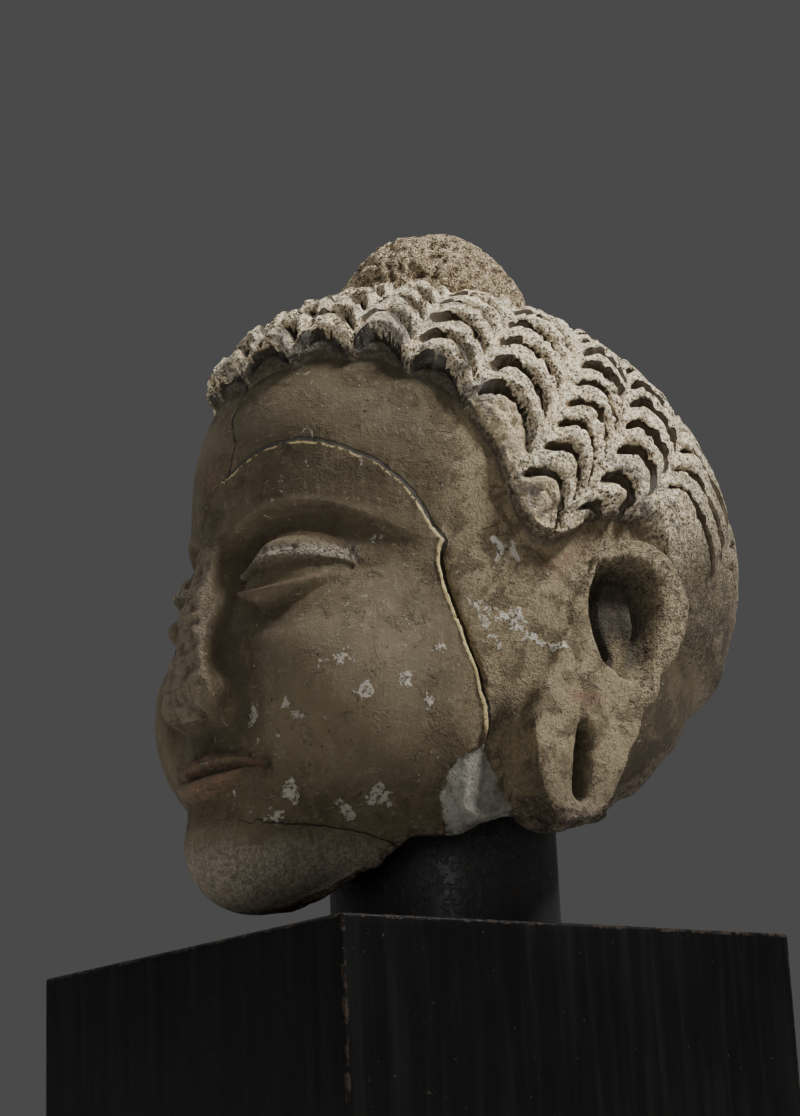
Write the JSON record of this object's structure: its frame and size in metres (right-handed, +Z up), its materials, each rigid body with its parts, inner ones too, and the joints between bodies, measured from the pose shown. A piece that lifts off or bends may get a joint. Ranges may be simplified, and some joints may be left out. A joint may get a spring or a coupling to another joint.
{
  "type": "stucco buddha head",
  "caption": "Larger than life stucco head of a Buddha with waved hair, topknot and pierced long ear lobes, standing on a round black post and a square black block.",
  "frame": {"origin": "centre of the block's underside, which rests on the table", "axes": "+Z up, -Y the way the face looks, +X the figure's left ear"},
  "size_m": [0.2134, 0.2677, 0.4288],
  "materials": {
    "stucco": "matt lime stucco, weathered and pitted, with remains of a buff slip and red paint",
    "post": "black lacquer, satin",
    "block": "black lacquer, satin, worn at the edges"
  },
  "bodies": {
    "root": {"mount_block": "block", "mount_post": "post", "stucco_head": "stucco"}
  },
  "joints": []
}
